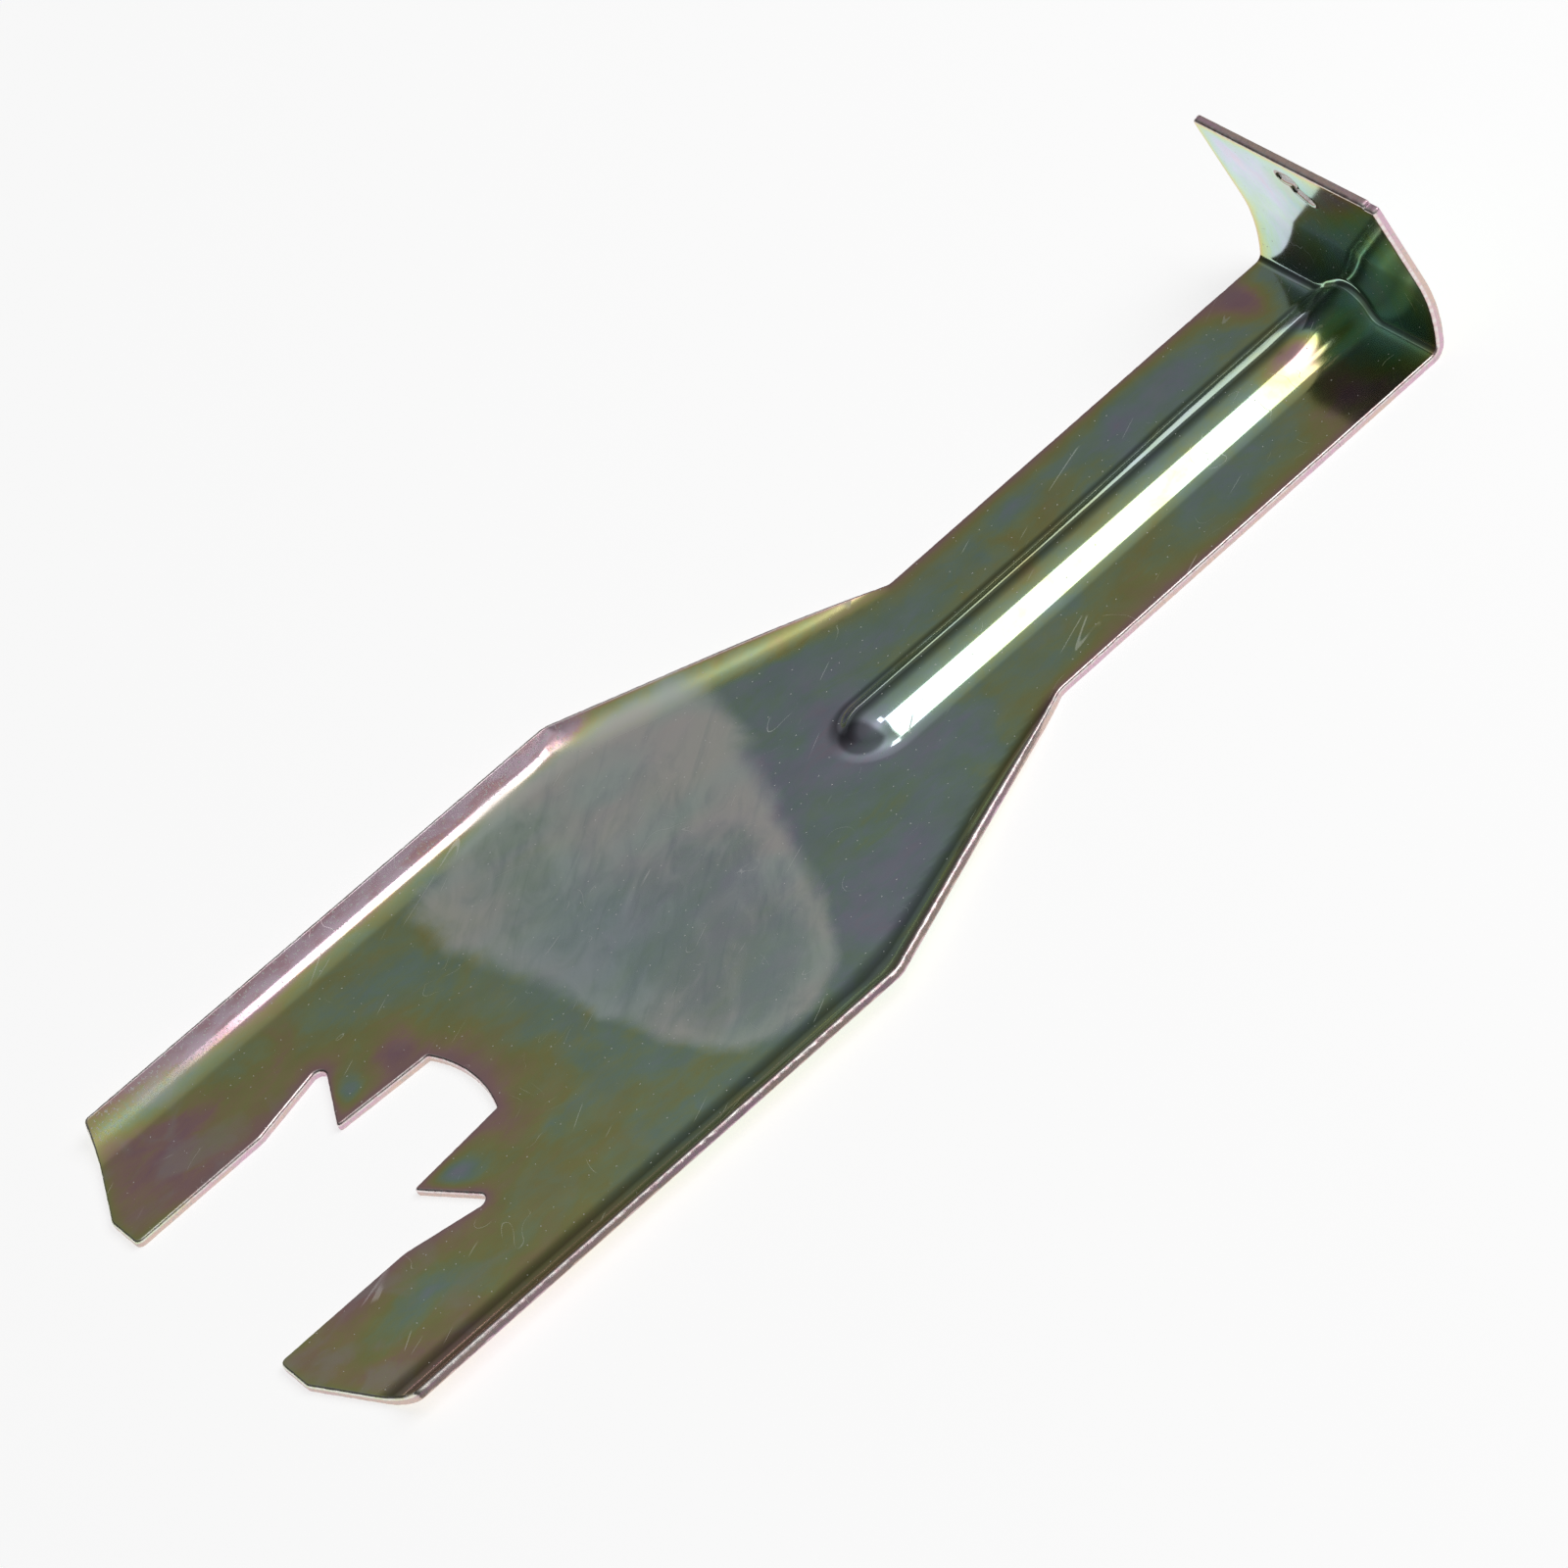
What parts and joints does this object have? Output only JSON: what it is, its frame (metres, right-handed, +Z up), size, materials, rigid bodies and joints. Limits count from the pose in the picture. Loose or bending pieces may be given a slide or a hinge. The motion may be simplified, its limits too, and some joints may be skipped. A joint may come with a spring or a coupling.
{
  "type": "forked clip and trim pry bar",
  "caption": "One-piece pressed steel pry bar with a barbed fork, turned-up side lips, a ribbed shank and an upright hook.",
  "frame": {"origin": "middle of the footprint, on the flat underside", "axes": "+X from the fork to the hook, +Y across the width, +Z up, the way the lips and the hook are turned"},
  "size_m": [0.196, 0.0762, 0.0265],
  "materials": {
    "plated_steel": "glossy yellow chromate over zinc plating, iridescent olive, teal, purple and gold"
  },
  "bodies": {
    "root": {"pressed_steel_body": "plated_steel"}
  },
  "joints": []
}
